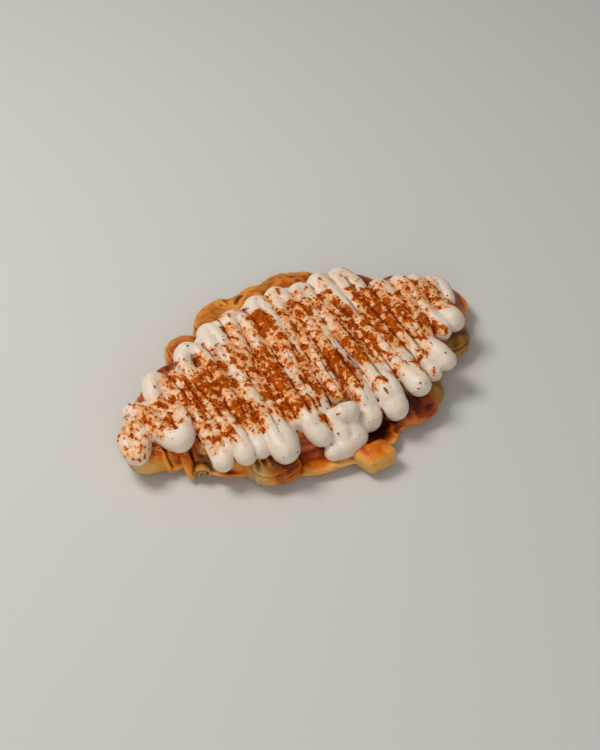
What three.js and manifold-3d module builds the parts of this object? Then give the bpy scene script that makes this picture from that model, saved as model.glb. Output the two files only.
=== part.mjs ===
// A croffle: a croissant pressed flat in an iron, with cream piped over it in one long zigzag.
//
// Millimetres, +Z up. X runs from tip to tip and Y from the front edge to the back edge.
// The origin is under the middle of the croffle, on the surface that it rests on.

import * as THREE from 'three';
import { mergeVertices } from 'three/addons/utils/BufferGeometryUtils.js';
import Module from 'manifold-3d';

const wasm = await Module();
wasm.setup();

// ---- Driving dimensions ----------------------------------------------------------------

const BULGE_HEIGHT = 5.4; // level at which the pressed dough is widest
const SQUARENESS = 2.5; // exponent of a fold's outline: 2 is an ellipse, more is boxier
const GAP = 0.3; // clearance between the cream and the crust

const ROPE_HALF_WIDTH = 4.25; // of the piped rope, seen from above
const ROPE_HALF_HEIGHT = 4.7;
const ROPE_SINK = 1.2; // how deep the soft rope settles onto the crust
const ROPE_DROOP_LIMIT = 12.0; // lowest that the middle of the rope hangs over the edges

const ROLL_AROUND = 10; // facets around a roll
const LUMP_AROUND = 8; // facets around a lump or a hollow
const FOLD_RINGS = 6; // facets from the top of a fold to its bottom
const ROPE_AROUND = 6; // facets around the rope
const ROPE_STEPS = 3; // facets along one pass of the rope, closer together near its ends
const ROPE_CAP = 1; // facets on the rounded end of a pass
const ROPE_TIP = 0.75; // how far a rounded end reaches, as a share of the rope's half width
const LOOP_DEPTH = 3.0; // from a turn's outermost point to where its passes run straight
const LOOP_SPREAD = 1.2; // how much deeper that is for each millimetre of its half distance
const FEELERS = 12; // places around a ball where the crust below it is felt
const SLAB = { side: 400, thick: 40 }; // cuts off all that would reach below the base
const MERGE = 1e-4; // corners closer than this are one

// Places in the lists below are measured from a point under the belly of the croffle. MIDDLE is
// where the middle of the finished croffle lies from there.
const MIDDLE = { x: 3.0, y: -2.0 };

// The folds of the rolled dough, from the left tip to the right one. x and y place a fold's
// middle, long and wide are its half sizes along X and Y, top is its height above the base,
// and turn is its angle in the plan, in degrees.
const ROLLS = [
  { x: -74.6, y: -0.5, long: 8.8, wide: 11.5, top: 12.5, turn: 20 },
  { x: -67.0, y: 2.5, long: 10.0, wide: 18.5, top: 13.0, turn: 6 },
  { x: -56.0, y: 4.0, long: 10.5, wide: 25.0, top: 13.4, turn: 4 },
  { x: -45.0, y: 1.5, long: 11.0, wide: 34.0, top: 13.6, turn: 3 },
  { x: -32.0, y: 4.5, long: 13.0, wide: 42.0, top: 13.8, turn: 2 },
  { x: -14.0, y: 8.0, long: 16.0, wide: 46.0, top: 13.6, turn: 0 },
  { x: 5.0, y: 9.5, long: 17.0, wide: 47.5, top: 13.6, turn: 0 },
  { x: 24.0, y: 8.5, long: 16.0, wide: 47.5, top: 14.0, turn: 0 },
  { x: 39.0, y: 4.0, long: 14.0, wide: 46.0, top: 13.6, turn: -2 },
  { x: 53.0, y: 3.0, long: 12.0, wide: 37.0, top: 13.5, turn: -4 },
  { x: 66.0, y: 2.0, long: 12.0, wide: 29.0, top: 13.2, turn: -8 },
  { x: 78.2, y: 3.5, long: 12.2, wide: 18.0, top: 12.6, turn: -15 },
];

// The thin rim that was pressed out between the two front shoulders, and the ledge beside it.
const RIMS = [
  { x: -10.0, y: -39.0, long: 22.0, wide: 11.8, level: 3.9, top: 6.0, turn: -10 },
  { x: 20.0, y: -36.4, long: 18.0, wide: 11.0, level: 4.0, top: 6.2, turn: 4 },
];

// Where the dough is missing above that rim, and beside the fold of the left tip.
const HOLLOWS = [
  { x: -19.5, y: -45.0, long: 9.5, wide: 13.0, level: 13.0, top: 21.0, turn: 16 },
  { x: 4.0, y: -46.0, long: 21.0, wide: 11.5, level: 13.0, top: 21.5, turn: 2 },
  { x: -67.4, y: -18.5, long: 4.0, wide: 9.0, level: 11.0, top: 17.6, turn: 2 },
];

// The lumps that stand out: shoulders, loose end, tips, puffed back lip.
const LUMPS = [
  { x: -75.8, y: -5.8, long: 7.6, wide: 7.4, level: 6.8, top: 11.9, turn: -26 },
  { x: -39.8, y: -34.5, long: 6.0, wide: 11.4, level: 6.2, top: 11.8, turn: 14 },
  { x: -32.5, y: -34.5, long: 8.5, wide: 12.0, level: 6.0, top: 12.5, turn: 4 },
  { x: 34.0, y: -36.0, long: 13.2, wide: 13.0, level: 6.2, top: 12.0, turn: -2 },
  { x: 43.0, y: -33.0, long: 8.0, wide: 11.2, level: 6.0, top: 11.2, turn: 24 },
  { x: 4.4, y: -49.6, long: 7.6, wide: 5.6, level: 4.2, top: 7.2, turn: -8 },
  { x: 4.2, y: -56.2, long: 8.2, wide: 6.2, level: 5.1, top: 10.2, turn: 4, boxy: 4 },
  { x: 73.2, y: -19.4, long: 10.2, wide: 5.2, level: 6.2, top: 11.0, turn: 38 },
  { x: 87.2, y: 1.0, long: 6.2, wide: 8.6, level: 6.4, top: 8.6, turn: -10 },
  { x: -8.5, y: 51.0, long: 12.0, wide: 8.2, level: 8.6, top: 12.8, turn: 12 },
  { x: 9.0, y: 51.4, long: 13.0, wide: 7.4, level: 8.8, top: 13.0, turn: -2 },
  { x: 22.0, y: 51.6, long: 9.0, wide: 7.2, level: 8.8, top: 13.2, turn: 4 },
  { x: 32.5, y: 50.0, long: 10.5, wide: 6.8, level: 8.6, top: 12.8, turn: -16 },
  { x: -32.2, y: 39.0, long: 7.6, wide: 7.0, level: 8.6, top: 13.2, turn: 10 },
];

// Where the piped rope turns back along the front edge. x and y place the outermost point of
// the loop's middle line, half is half the distance between its two passes, fat its width as a
// share of the usual one, and lean how far the passes lie to the right of the tip. bow and slim
// are the sideways bend and the width of the pass that leaves the turn.
const FRONT_TURNS = [
  { x: -81.4, y: -7.4, half: 3.6, fat: 1.02, lean: 1.8 },
  { x: -64.0, y: -11.6, half: 5.6, fat: 1.28, lean: 1.2, slim: 0.8, bow: -0.8 },
  { x: -54.0, y: -28.6, half: 0.7, fat: 1.1, lean: 1.2, slim: 0.9 },
  { x: -45.4, y: -32.4, half: 0.7, fat: 1.06, lean: 1.0 },
  { x: -38.4, y: -33.2, half: 0.5, fat: 0.96, lean: 0.5, slim: 0.8 },
  { x: -30.4, y: -39.8, half: 1.7, fat: 1.3, lean: 0.8, slim: 0.85 },
  { x: -12.2, y: -39.2, half: 1.2, fat: 1.16, lean: -0.8, slim: 0.85, bow: 2.2 },
  { x: -6.6, y: -35.0, half: 0.8, fat: 1.0, slim: 0.8 },
  { x: 8.6, y: -41.0, half: 0.7, fat: 1.15, lean: 4.2, slim: 0.9 },
  { x: 22.4, y: -43.4, half: 1.3, fat: 1.2, lean: 1.2, slim: 0.8 },
  { x: 37.0, y: -39.4, half: 1.0, fat: 1.25, lean: 0.3, slim: 0.9 },
  { x: 48.0, y: -35.0, half: 0.4, fat: 0.95, slim: 0.85 },
  { x: 55.0, y: -27.0, half: 1.0, fat: 1.0, lean: -1.0 },
  { x: 64.6, y: -19.0, half: 0.8, fat: 1.0, lean: 1.5, slim: 0.8 },
  { x: 73.2, y: -15.0, half: 0.9, fat: 1.4, lean: 0.4, slim: 0.8 },
];

// The same along the back edge.
const BACK_TURNS = [
  { x: -72.6, y: 12.4, half: 3.4, fat: 1.2 },
  { x: -57.5, y: 22.8, half: 3.6, fat: 1.15, bow: 1.4, slim: 0.88 },
  { x: -47.5, y: 20.0, half: 0.6 },
  { x: -36.6, y: 31.0, half: 4.8, fat: 1.15 },
  { x: -22.8, y: 36.8, half: 2.4, fat: 1.1 },
  { x: -9.8, y: 37.4, half: 3.6, fat: 1.1, bow: -1.5 },
  { x: 4.0, y: 40.0, half: 2.6, fat: 1.1, bow: -1.0 },
  { x: 14.8, y: 40.4, half: 2.4, fat: 1.1, bow: 2.0 },
  { x: 25.4, y: 37.4, half: 2.0 },
  { x: 35.5, y: 36.9, half: 1.4, fat: 1.1 },
  { x: 46.2, y: 35.0, half: 2.6, fat: 1.2 },
  { x: 57.5, y: 20.2, half: 1.8 },
  { x: 67.0, y: 17.8, half: 1.6, fat: 1.05 },
  { x: 73.4, y: 14.6, half: 1.2, fat: 1.0 },
  { x: 80.0, y: 11.4, half: 2.2, fat: 0.92 },
];
const USUAL_TURN = { fat: 1.05, lean: 0, bow: 0, slim: 1.0 };

// Where the rope begins and where it ends.
const START = { x: -76.5, y: 7.5, half: 0 };
const FINISH = { x: 80.4, y: -3.0, half: 0 };

// Short strands as routes with their half widths: the run of cream that slid down over the
// front rim, with its foot, the blob that it slid from, and a thick end near the right tip.
const STRANDS = [
  {
    half: 4.5,
    route: [
      [1, -35.5, 16.5],
      [1.2, -40, 13],
      [1.6, -44.4, 9.8],
      [-4, -46.4, 8.6],
      [-10.8, -45.4, 8.2],
    ],
  },
  { half: 4.4, route: [[-3, -35, 16.5], [-3.4, -40.5, 12.6], [-4.4, -44, 9.6]] },
  { half: 4.5, route: [[-0.8, -37, 18.7], [1, -37.3, 18.7], [2.8, -37.6, 18.5]] },
  { half: 4.8, route: [[55.4, -33.8, 16.4], [54.6, -28.5, 17.2], [53.6, -23, 17.2]] },
];

const CRUST_COLOUR = '#b2692c';
const CREAM_COLOUR = '#e6d3bd';

// ---- Solids ----------------------------------------------------------------------------

// A closed three.js geometry as a solid that can be joined and cut.
function solidFrom(geometry) {
  const bare = geometry.clone();
  bare.deleteAttribute('normal');
  bare.deleteAttribute('uv');
  const merged = mergeVertices(bare, MERGE);
  return new wasm.Manifold(
    new wasm.Mesh({
      numProp: 3,
      vertProperties: new Float32Array(merged.attributes.position.array),
      triVerts: new Uint32Array(merged.index.array),
    }),
  );
}

// A solid back as a geometry with flat-shaded faces.
function geometryFrom(solid) {
  const mesh = solid.getMesh();
  const geometry = new THREE.BufferGeometry();
  geometry.setAttribute('position', new THREE.BufferAttribute(mesh.vertProperties, 3));
  geometry.setIndex(new THREE.BufferAttribute(mesh.triVerts, 1));
  geometry.computeVertexNormals();
  return geometry;
}

function join(solids) {
  return solids.reduce((whole, solid) => whole.add(solid));
}

// ---- Crust -----------------------------------------------------------------------------

const BODY = [...ROLLS.map((roll) => ({ ...roll, level: BULGE_HEIGHT })), ...RIMS];

// One fold: a sphere pushed out to a boxier form, stretched, turned and put in place.
function foldGeometry(fold, grow, around) {
  const boxy = fold.boxy ?? SQUARENESS;
  const geometry = new THREE.SphereGeometry(1, around, FOLD_RINGS);
  geometry.rotateX(Math.PI / 2);
  const position = geometry.attributes.position;
  const point = new THREE.Vector3();
  for (let i = 0; i < position.count; i += 1) {
    point.fromBufferAttribute(position, i);
    const reach = point.toArray().reduce((sum, part) => sum + Math.abs(part) ** boxy, 0);
    point.multiplyScalar(reach ** (-1 / boxy));
    position.setXYZ(i, point.x, point.y, point.z);
  }
  geometry.scale(fold.long + grow, fold.wide + grow, fold.top - fold.level + grow);
  geometry.rotateZ(THREE.MathUtils.degToRad(fold.turn));
  geometry.translate(fold.x, fold.y, fold.level);
  return geometry;
}

function joinFolds(folds, grow, around) {
  return join(folds.map((fold) => solidFrom(foldGeometry(fold, grow, around))));
}

// The rolls and rims with their hollows, and the lumps on them, cut flat where they rest.
function crustSolid(grow) {
  const hollows = joinFolds(HOLLOWS, -grow, LUMP_AROUND);
  const body = joinFolds(BODY, grow, ROLL_AROUND).subtract(hollows);
  const below = new THREE.BoxGeometry(SLAB.side, SLAB.side, SLAB.thick);
  below.translate(0, 0, -SLAB.thick / 2);
  return body.add(joinFolds(LUMPS, grow, LUMP_AROUND)).subtract(solidFrom(below));
}

// How far a fold's skin lies from its own level above a point of the plan, or 0 beside it.
function halfThickness(fold, x, y) {
  const boxy = fold.boxy ?? SQUARENESS;
  const turn = THREE.MathUtils.degToRad(fold.turn);
  const along = ((x - fold.x) * Math.cos(turn) + (y - fold.y) * Math.sin(turn)) / fold.long;
  const across = ((y - fold.y) * Math.cos(turn) - (x - fold.x) * Math.sin(turn)) / fold.wide;
  const left = 1 - Math.abs(along) ** boxy - Math.abs(across) ** boxy;
  return left > 0 ? (fold.top - fold.level) * left ** (1 / boxy) : 0;
}

function highest(folds, x, y) {
  const heights = folds.map((fold) => {
    const half = halfThickness(fold, x, y);
    return half > 0 ? fold.level + half : 0;
  });
  return Math.max(...heights);
}

// The height of the crust above a point of the plan, or 0 beside it.
function crustTop(x, y) {
  let top = highest(BODY, x, y);
  for (const hollow of HOLLOWS) {
    const half = halfThickness(hollow, x, y);
    if (half > 0) {
      top = Math.min(top, hollow.level - half);
    }
  }
  return Math.max(top, highest(LUMPS, x, y));
}

// The height of the middle of a soft rope that lies on the crust above a point of the plan:
// that of a ball rolled over the crust there.
function ropeHeight(x, y, width) {
  const radius = ROPE_HALF_HEIGHT * width - ROPE_SINK;
  let height = Math.max(crustTop(x, y) + radius, ROPE_DROOP_LIMIT);
  for (const distance of [0.5 * radius, 0.9 * radius]) {
    for (let step = 0; step < FEELERS; step += 1) {
      const angle = (step * 2 * Math.PI) / FEELERS;
      const crust = crustTop(x + distance * Math.cos(angle), y + distance * Math.sin(angle));
      height = Math.max(height, crust + Math.sqrt(radius ** 2 - distance ** 2));
    }
  }
  return height;
}

// ---- Cream -----------------------------------------------------------------------------

// A capsule bent along a route, with its section upright. widths gives the share of the half
// sizes at the route's beginning, along its middle and at its end.
function ropeAlong(points, halfWidth, halfHeight, widths = [1, 1, 1]) {
  const curve = new THREE.CatmullRomCurve3(points, false, 'centripetal');
  const length = curve.getLength();
  const geometry = new THREE.CapsuleGeometry(1, length, ROPE_CAP, ROPE_AROUND, ROPE_STEPS);
  const position = geometry.attributes.position;
  const up = new THREE.Vector3(0, 0, 1);
  for (let i = 0; i < position.count; i += 1) {
    const even = THREE.MathUtils.clamp(position.getY(i) / length + 0.5, 0, 1);
    const past = position.getY(i) - (even - 0.5) * length;
    const along = (1 - Math.cos(Math.PI * even)) / 2;
    const end = along < 0.5 ? widths[0] : widths[2];
    const share = THREE.MathUtils.lerp(end, widths[1], Math.sin(Math.PI * along));
    const tangent = curve.getTangentAt(along);
    const side = new THREE.Vector3().crossVectors(tangent, up).normalize();
    const normal = new THREE.Vector3().crossVectors(side, tangent);
    const point = curve.getPointAt(along);
    point.addScaledVector(side, position.getX(i) * halfWidth * share);
    point.addScaledVector(normal, position.getZ(i) * halfHeight * share);
    point.addScaledVector(tangent, past * halfWidth * share * ROPE_TIP);
    position.setXYZ(i, point.x, point.y, point.z);
  }
  return geometry;
}

// One pass of the rope between a turn in front and a turn at the back. It bears away from the
// middle of each loop by that loop's half distance, to the side given by 1 or -1.
function passSolid(front, back, side) {
  const leaving = side > 0 ? front : back;
  const depth = (turn) => LOOP_SPREAD * turn.half + LOOP_DEPTH;
  const from = [front.x + front.lean + side * front.half, front.y + depth(front)];
  const to = [back.x + back.lean - side * back.half, back.y - depth(back)];
  const plan = [[front.x, front.y], from];
  for (const share of [0.2, 0.4, 0.6, 0.8]) {
    const bend = leaving.bow * Math.sin(Math.PI * share);
    plan.push([
      THREE.MathUtils.lerp(from[0], to[0], share) + bend,
      THREE.MathUtils.lerp(from[1], to[1], share),
    ]);
  }
  plan.push(to, [back.x, back.y]);
  const points = plan.map(([x, y]) => new THREE.Vector3(x, y, ropeHeight(x, y, leaving.slim)));
  const widths = [front.fat, leaving.slim, back.fat];
  return solidFrom(ropeAlong(points, ROPE_HALF_WIDTH, ROPE_HALF_HEIGHT, widths));
}

function zigzagSolids() {
  const fronts = [...FRONT_TURNS, FINISH].map((turn) => ({ ...USUAL_TURN, ...turn }));
  const backs = [START, ...BACK_TURNS].map((turn) => ({ ...USUAL_TURN, ...turn }));
  const solids = [];
  fronts.forEach((front, i) => {
    solids.push(passSolid(front, backs[i], -1));
    if (i + 1 < backs.length) {
      solids.push(passSolid(front, backs[i + 1], 1));
    }
  });
  return solids;
}

function strandSolid(strand) {
  const points = strand.route.map(([x, y, z]) => new THREE.Vector3(x, y, z));
  return solidFrom(ropeAlong(points, strand.half, strand.half));
}

function creamSolid() {
  const piped = join([...zigzagSolids(), ...STRANDS.map(strandSolid)]);
  return piped.subtract(crustSolid(GAP));
}

// ---- The croffle -----------------------------------------------------------------------

const crust = new THREE.Mesh(
  geometryFrom(crustSolid(0)),
  new THREE.MeshStandardMaterial({ color: CRUST_COLOUR, roughness: 0.55, metalness: 0 }),
);
crust.name = 'crust';

const cream = new THREE.Mesh(
  geometryFrom(creamSolid()),
  new THREE.MeshStandardMaterial({ color: CREAM_COLOUR, roughness: 0.45, metalness: 0 }),
);
cream.name = 'cream';

const group = new THREE.Group();
group.add(crust, cream);
group.position.set(-MIDDLE.x, -MIDDLE.y, 0);

export default group;
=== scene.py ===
# %% [markdown]
# # A croffle with piped cream and cinnamon
#
# A croffle is a croissant pressed flat in a hot iron. This one is browned, piped over with one
# long zigzag of cream, and dusted with cinnamon. The crust is built first because the cream has
# to lie on it, and the powder comes last because it has to lie on both. Everything below is
# planned in millimetres and turned into metres when a mesh is made.

# %% The frame and the units
import math
from collections import namedtuple

import bpy
import numpy as np
import openvdb as vdb
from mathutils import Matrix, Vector
from mathutils.bvhtree import BVHTree


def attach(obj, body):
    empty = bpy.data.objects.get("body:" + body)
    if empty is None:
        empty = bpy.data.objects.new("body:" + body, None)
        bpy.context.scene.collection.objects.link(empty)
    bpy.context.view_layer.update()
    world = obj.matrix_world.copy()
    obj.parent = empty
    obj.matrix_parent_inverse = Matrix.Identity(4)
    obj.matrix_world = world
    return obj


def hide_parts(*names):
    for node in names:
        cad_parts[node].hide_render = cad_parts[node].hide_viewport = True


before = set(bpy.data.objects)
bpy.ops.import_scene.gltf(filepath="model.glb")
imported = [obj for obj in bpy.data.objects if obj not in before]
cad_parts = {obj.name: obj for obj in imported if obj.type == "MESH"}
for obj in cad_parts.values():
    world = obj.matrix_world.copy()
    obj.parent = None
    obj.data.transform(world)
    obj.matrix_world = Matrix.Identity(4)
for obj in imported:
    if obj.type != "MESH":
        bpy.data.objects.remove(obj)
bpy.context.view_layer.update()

MM = 0.001
# Places are planned from a point under the belly; the finished croffle's middle is here.
MIDDLE = np.array([3.0, -2.0, 0.0])


# %% [markdown]
# ## Two tools for shapes
#
# Dough has no sharp corners and merges where it touches. A distance field suits that: each fold
# of dough says how far every point of a grid is from its skin, a soft minimum blends the folds,
# and the surface is drawn where the distance is zero. Random bumps come from a table of
# random values at the corners of a lattice, blended smoothly in between, which gives the same
# bumps on every run.

# %% Smooth random bumps
LATTICE = 32  # cells before the table of random values repeats


def bumps(points, size, seed):
    """Smooth random values from about -1 to 1, whose bumps are about `size` mm across."""
    dice = np.random.default_rng(seed)
    table = dice.uniform(-1, 1, (LATTICE,) * 3)
    place = np.asarray(points) / size + dice.uniform(0, LATTICE, 3)
    cell = np.floor(place).astype(int)
    share = place - cell
    share = share * share * (3 - 2 * share)
    total = np.zeros(place.shape[:-1])
    for corner in np.ndindex(2, 2, 2):
        weight = np.prod(np.where(corner, share, 1 - share), axis=-1)
        index = np.moveaxis((cell + corner) % LATTICE, -1, 0)
        total += weight * table[tuple(index)]
    return total


def rise(value, low, high):
    """0 below low, 1 above high, and a smooth slope between."""
    share = np.clip((value - low) / (high - low), 0, 1)
    return share * share * (3 - 2 * share)


# %% A field on a grid
class Field:
    """Distances in millimetres on a grid, negative inside the dough."""

    def __init__(self, low, high, step):
        self.low = np.array(low, float)
        self.step = step
        self.size = np.ceil((np.array(high) - self.low) / step).astype(int) + 1
        self.values = np.full(self.size, 4.0 * step, np.float32)

    def near(self, centre, reach):
        """The part of the grid within reach of a point: its slices and its points."""
        first = np.floor((np.array(centre) - reach - self.low) / self.step)
        last = np.ceil((np.array(centre) + reach - self.low) / self.step) + 1
        first = np.clip(first, 0, self.size).astype(int)
        last = np.clip(last, 0, self.size).astype(int)
        sides = [self.low[i] + np.arange(first[i], last[i]) * self.step for i in range(3)]
        part = tuple(slice(a, b) for a, b in zip(first, last))
        return part, np.stack(np.meshgrid(*sides, indexing="ij"), axis=-1)

    def add(self, centre, reach, distance, blend, side=1):
        """Joins a shape to the field, with the corners filled in by about blend."""
        part, points = self.near(centre, reach)
        old, new = side * self.values[part], distance(points)
        fill = np.maximum(blend - np.abs(old - new), 0) / blend
        self.values[part] = side * (np.minimum(old, new) - fill * fill * blend / 4)

    def cut(self, centre, reach, distance, blend):
        """Cuts a shape out: it is joined to the outside of the field instead."""
        self.add(centre, reach, distance, blend, side=-1)

    def skin(self):
        """The points and four-sided faces of the surface, faces outwards."""
        grid = vdb.FloatGrid(4.0 * self.step)
        grid.copyFromArray(self.values)
        points, quads = grid.convertToQuads(0.0)
        points = points * self.step + self.low
        corners = points[quads]
        across = np.cross(corners[:, 2] - corners[:, 0], corners[:, 3] - corners[:, 1])
        if (across * corners.mean(axis=1)).sum() < 0:
            quads = quads[:, ::-1]
        return points, quads


# %% From points and faces to an object
def largest_piece(points, faces):
    """The points and faces of a mesh's largest connected piece."""
    piece = np.arange(len(points))
    while True:
        lowest = piece[faces].min(axis=1)
        before = piece.copy()
        np.minimum.at(piece, faces.ravel(), lowest.repeat(faces.shape[1]))
        piece = piece[piece]
        if (piece == before).all():
            break
    kept = piece == np.bincount(piece).argmax()
    number = kept.cumsum() - 1
    return points[kept], number[faces[kept[faces[:, 0]]]]


def new_object(name, data):
    """An object in the scene, at the origin."""
    piece = bpy.data.objects.new(name, data)
    bpy.context.scene.collection.objects.link(piece)
    return piece


def mesh_object(name, points, faces):
    """A smooth-shaded mesh object, from points planned in millimetres."""
    mesh = bpy.data.meshes.new(name)
    mesh.from_pydata(((points - MIDDLE) * MM).tolist(), [], faces.tolist())
    mesh.validate()
    mesh.shade_smooth()
    return new_object(name, mesh)


def plan_points(mesh):
    """A mesh's points in planned millimetres, and its normals."""
    points, normals = np.empty((2, len(mesh.vertices) * 3))
    mesh.vertices.foreach_get("co", points)
    mesh.vertices.foreach_get("normal", normals)
    return points.reshape(-1, 3) / MM + MIDDLE, normals.reshape(-1, 3)


def move_points(mesh, points):
    mesh.vertices.foreach_set("co", ((points - MIDDLE) * MM).ravel())
    mesh.update()


def store(mesh, name, values):
    """Keeps one number for each point of a mesh, for its material to read."""
    layer = mesh.attributes.new(name, "FLOAT", "POINT")
    layer.data.foreach_set("value", np.asarray(values, np.float32))


def count_triangles(piece):
    return sum(len(face.vertices) - 2 for face in piece.data.polygons)


# %% [markdown]
# ## The crust
#
# A rolled croissant shows its turns as ribs that run from front to back, widest in the middle
# and smallest at the tips. The iron squeezes them into slabs with round edges. So each turn is
# a slab whose plan is a boxy oval, a little domed. Lumps stand out where the dough escaped the
# iron: two shoulders, a loose end in front, and a puffed lip along the back. Between the
# shoulders the dough was pressed out into a thin rim.

# %% The turns of the dough
# x, y: the middle in the plan. long, wide: half sizes along X and Y. top: height. turn: degrees.
Roll = namedtuple("Roll", "x y long wide top turn")


def shapes(kind, rows):
    """A list of shapes of one kind, from rows of numbers."""
    return [kind(*row) for row in rows]


ROLLS = shapes(Roll, [
    (-74.6, -0.5, 8.8, 11.5, 12.5, 20), (-67, 2.5, 10, 18.5, 13, 6), (-56, 4, 10.5, 25, 13.4, 4),
    (-45, 1.5, 11, 34, 13.6, 3), (-32, 4.5, 13, 42, 13.8, 2), (-14, 8, 16, 46, 13.6, 0),
    (5, 9.5, 17, 47.5, 13.6, 0), (24, 8.5, 16, 47.5, 14, 0), (39, 4, 14, 46, 13.6, -2),
    (53, 3, 12, 37, 13.5, -4), (66, 2, 12, 29, 13.2, -8), (78.2, 3.5, 12.2, 18, 12.6, -15),
])
BOXY = 2.5  # exponent of an oval's outline: 2 is an ellipse, more is boxier
EDGE = 6.2  # radius of a slab's edge
DOME = 1.8  # how much lower a roll is at its sides than along its spine
BELOW = 1.0  # how far a roll reaches under the plate before its underside is cut


def rotated(x, y, angle):
    """The same offsets, along axes that are turned by an angle."""
    cos, sin = math.cos(angle), math.sin(angle)
    return x * cos + y * sin, y * cos - x * sin


def turned(points, shape):
    """Offsets from a shape's middle, along its own length and width."""
    return rotated(points[..., 0] - shape.x, points[..., 1] - shape.y, math.radians(shape.turn))


def oval(offsets, halves, boxy=BOXY):
    """About how far points are from the skin of a boxy oval with those half sizes."""
    shares = [np.abs(offset) / half + 1e-6 for offset, half in zip(offsets, halves)]
    total = sum(share**boxy for share in shares) ** (1 / boxy)
    slopes = [(share / total) ** (boxy - 1) / half for share, half in zip(shares, halves)]
    return (total - 1) / np.sqrt(sum(slope * slope for slope in slopes))


def roll_distance(points, roll):
    along, across = turned(points, roll)
    top = roll.top - DOME * (along / roll.long) ** 2
    middle = (top - BELOW) / 2
    sideways = oval((along, across), (roll.long, roll.wide)) + EDGE
    upright = np.abs(points[..., 2] - middle) - (top + BELOW) / 2 + EDGE
    outside = np.hypot(np.maximum(sideways, 0), np.maximum(upright, 0))
    return outside + np.minimum(np.maximum(sideways, upright), 0) - EDGE


# %% Lumps, flaps and cracks
# level: height of the widest part. top: height of the crown.
Lump = namedtuple("Lump", "x y long wide level top turn boxy", defaults=(BOXY,))
# A flap is a thin leaf of dough: x, y, z is its middle, turn its direction in the plan in
# degrees, tilt how steeply it points down, and long, wide, thick are its half sizes.
Flap = namedtuple("Flap", "x y z long wide thick turn tilt")

RIMS = shapes(Lump, [
    (-10, -39, 22, 11.8, 3.9, 6, -10),  # thin rim between the shoulders
    (20, -36.4, 18, 11, 4, 6.2, 4),  # ledge beside it
])
LUMPS = shapes(Lump, [
    (-75.8, -5.8, 7.4, 7.2, 6.6, 11.9, -26, 2.2),  # fold of the left tip
    (-39.8, -34.5, 6, 11.4, 6.2, 11.8, 14, 2.2),  # outer layer of the left shoulder
    (-32.5, -34.5, 8.5, 12, 6, 12.5, 4),  # left shoulder
    (34, -36, 13.2, 13, 6.2, 12, -2, 2.3),  # right shoulder
    (43, -33, 8, 11.2, 6, 11.2, 24, 2.2),
    (4.4, -49.6, 7.6, 5.6, 4.2, 7.2, -8, 2.6),  # neck of the loose end
    (5.8, -55.8, 6, 5.4, 5.1, 10.2, 6, 4),  # loose end of the dough
    (0.8, -55, 6.2, 4.6, 5.2, 9.8, -75, 3),
    (73.2, -19.4, 10.2, 5.2, 6.2, 11, 38, 2.2),  # petal near the right tip
    (-8.5, 51, 12, 7.6, 8.6, 12.8, 12, 2.2),  # puffed back lip
    (9, 51.4, 13, 6.6, 8.8, 13, -2, 2.2),
    (22, 51.6, 9, 6.4, 8.8, 13.2, 4, 2.2),
    (32.5, 50, 10.5, 6.2, 8.6, 12.8, -16, 2.2),
    (-32.2, 39, 7.6, 7, 8.6, 13.2, 10),  # golden hump beside it
])
HOLLOWS = shapes(Lump, [
    (-19.5, -45, 9.5, 13, 13, 21, 16, 2.2),  # between shoulder and rim
    (4, -46, 21, 11.5, 13, 21.5, 2, 2.2),  # behind the loose end
    (12.5, -40, 8.5, 5.5, 7.5, 11.8, -6, 2.2),  # pocket under the cream
    (-67.4, -18.5, 4, 9, 11, 17.6, 2, 2.4),  # flat panel beside the left tip
])
FLAPS = shapes(Flap, [
    (-71.4, -11.2, 7.2, 6.4, 1, 2.4, -86, 40),  # sharp end of the left fold
    (-63.8, -17, 6.4, 6.8, 2.3, 1.4, -98, 32),  # pointed leaf
    (-55.4, -18.6, 8.4, 6.6, 3.6, 0.9, -118, 36),  # sheet above the curled end
    (-51.4, -27, 4.8, 8, 3.2, 0.9, -32, 6),  # rim under the first loops of cream
    (-43.4, -36.5, 8.4, 6, 0.9, 2.4, -112, 48),  # creased skin of the left shoulder
    (-40.6, -38.5, 8.2, 6, 0.9, 2.6, -100, 46),
    (-37.2, -40, 7.8, 6.2, 1, 2.8, -94, 44),
    (-17.5, -46, 4.8, 8.2, 3.2, 1, -18, 5),  # flared edge of the thin rim
    (-7.5, -49.6, 4.6, 8, 3.4, 1, -14, 4),
    (16.6, -48.4, 4.8, 6.6, 3, 0.9, 34, 6),  # neck between ledge and loose end
    (37.5, -41.5, 7, 7.5, 1.2, 3, -80, 40),  # folds of the right shoulder
    (44, -38.5, 6.8, 6.5, 1.2, 3, -58, 38),
    (88.8, 1.5, 6.6, 8.2, 4, 2.3, 80, 6),  # leaf at the right tip
    (-62, 23.5, 6.8, 7, 3.6, 1.2, 45, 12),  # folds along the back
    (-50, 31.5, 7, 6.5, 3.4, 1.2, 30, 10),
    (60, 33.5, 7.2, 7.5, 3.6, 1.2, -40, 10),
    (74, 25.5, 6.8, 6.5, 3.4, 1.2, -46, 12),
])
CRACKS = shapes(Flap, [
    (-69.4, -10, 8.6, 6.5, 0.8, 3, -86, 40),  # beside the left fold
    (-61, -15, 8, 6.5, 0.7, 3, -98, 36),
    (55, -33, 6.5, 6, 0.8, 3.5, -60, 50),
    (67.8, -21.6, 8, 3.2, 0.7, 2.4, -50, 40),
    (2.6, 52, 13.2, 2.8, 1.2, 2.2, 20, 0),  # holes behind the back lip
    (0.2, 50, 13, 1.8, 1.2, 2.2, 60, 0),
    (5.6, 56.5, 12.6, 1.2, 0.9, 1.6, 20, 0),
    (-22.5, 48.5, 11, 4, 0.8, 2.6, 80, -20),  # between hump and lip
])


def lump_distance(points, lump):
    along, across = turned(points, lump)
    upright = points[..., 2] - lump.level
    halves = (lump.long, lump.wide, lump.top - lump.level)
    return oval((along, across, upright), halves, lump.boxy)


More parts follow.
